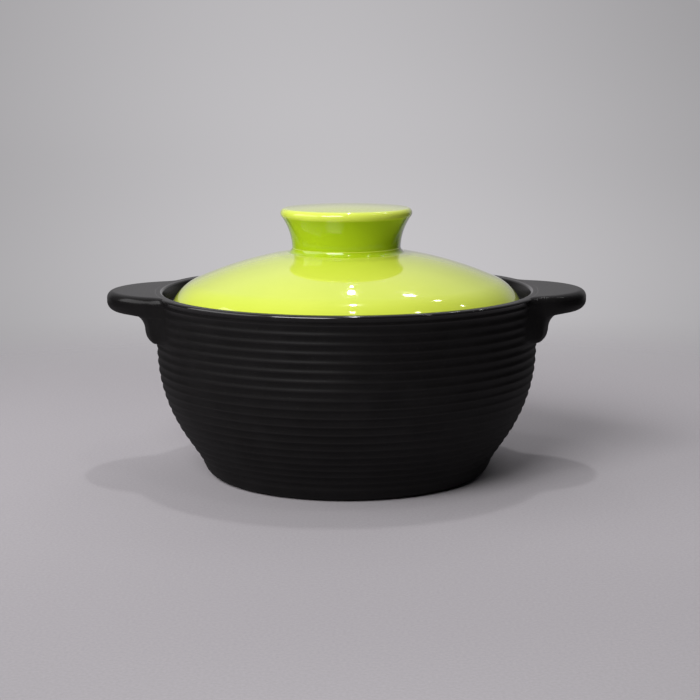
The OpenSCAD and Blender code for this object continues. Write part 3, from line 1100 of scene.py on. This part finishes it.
def world():
    """The camera sees the backdrop all round; the object is lit by the room."""
    studio = bpy.data.worlds.new("studio")
    bpy.context.scene.world = studio
    studio.use_nodes = True
    tree = studio.node_tree
    way = coordinates(tree, "Generated")
    axes = axes_of(tree, way)
    rays = tree.nodes.new("ShaderNodeLightPath").outputs
    mirrored = math_node(tree, "MAXIMUM", rays["Is Glossy Ray"], rays["Is Transmission Ray"])
    behind = eased(tree, axes["Y"], 0.0, 1.0, *MIRROR_BEHIND)
    behind = math_node(tree, "MULTIPLY", behind, eased(tree, axes["Z"], 1.0, 0.0, *MIRROR_HEIGHT))
    seen = math_node(tree, "MAXIMUM", rays["Is Camera Ray"], math_node(tree, "MULTIPLY", mirrored, behind))
    back = tree.nodes["Background"]
    link(tree, mixed(tree, seen, room_colour(tree, way), backdrop_colour(tree, axes)), back.inputs["Color"])
    back.inputs["Strength"].default_value = 1.0


# Large lamps: turned from straight behind the pot, raised, size and power in watts.
LAMP_WAY = 2.2
LAMP_TONE = (1.0, 0.99, 1.0)
LAMPS = (
    ("key", -152.0, 38.0, (1.2, 1.0), 44.0),
    ("side", -100.0, 30.0, (2.0, 1.3), 20.0),
)
TOP_LAMP_PLACE = (0.05, 0.17, 1.45)
TOP_LAMP_SIZE = (0.045, 0.10)
TOP_LAMP_WATTS = 3.2
# Small ceiling lamps that the lid mirrors, all at one height and equally bright to look at.
SPOT_Z = 0.74
SPOT_LEVEL = 40.0
# Place over the floor, width, depth and turn.
SPOTS = (
    (0.014, 0.503, 0.009, 0.016, 0.0),
    (0.013, 0.428, 0.020, 0.044, 0.0),
    (0.068, 0.643, 0.011, 0.026, 0.0),
    (-0.028, 0.579, 0.007, 0.014, 0.0),
    (0.031, -0.232, 0.026, 0.060, 0.0),
    (0.188, 0.474, 0.043, 0.016, 28.0),
    (0.355, 0.278, 0.040, 0.030, 0.0),
    (0.643, 0.220, 0.044, 0.034, 0.0),
    (0.414, -0.176, 0.034, 0.040, 0.0),
)


def area(name, place, size, watts, colour=(1.0, 1.0, 1.0)):
    """A lamp that faces straight down until it is turned."""
    lamp = bpy.data.lights.new(name, "AREA")
    lamp.shape = "RECTANGLE"
    lamp.size, lamp.size_y = size
    lamp.energy = watts
    lamp.color = colour
    obj = bpy.data.objects.new(name, lamp)
    obj.location = place
    obj.visible_camera = False
    bpy.context.scene.collection.objects.link(obj)
    return obj


def lamps():
    for name, turn, height, size, watts in LAMPS:
        way = Vector(unit_way(turn, height))
        lamp = area(name, LAMP_WAY * way, size, watts, LAMP_TONE)
        lamp.rotation_euler = (-way).to_track_quat("-Z", "Y").to_euler()
    area("top", TOP_LAMP_PLACE, TOP_LAMP_SIZE, TOP_LAMP_WATTS)
    for i, (x, y, wide, deep, turn) in enumerate(SPOTS):
        lamp = area("spot_%d" % i, (x, y, SPOT_Z), (wide, deep), SPOT_LEVEL * pi * wide * deep)
        lamp.rotation_euler = (0.0, 0.0, radians(turn))


# Camera, fitted to the photograph's outlines: picture points, sensor in millimetres, place, dip and roll.
FRAME_POINTS = 700.0
FOCAL_POINTS = 1632.0
SENSOR = 36.0
NEAR_CLIP = 0.05
CAMERA_PLACE = (0.00179, -0.8998, 0.2196)
CAMERA_DIP = 9.61
CAMERA_ROLL = -0.19


def camera():
    data = bpy.data.cameras.new("camera")
    data.sensor_width = SENSOR
    data.lens = FOCAL_POINTS / FRAME_POINTS * SENSOR
    data.clip_start = NEAR_CLIP
    obj = bpy.data.objects.new("camera", data)
    obj.location = CAMERA_PLACE
    dip = Euler((radians(90 - CAMERA_DIP), 0, 0)).to_matrix()
    roll = Euler((0, 0, radians(CAMERA_ROLL))).to_matrix()
    obj.rotation_euler = (dip @ roll).to_euler()
    bpy.context.scene.collection.objects.link(obj)
    bpy.context.scene.camera = obj


pot()
handles()
lid()
knob()
floor()
world()
lamps()
camera()
bpy.context.scene.view_settings.view_transform = "Standard"
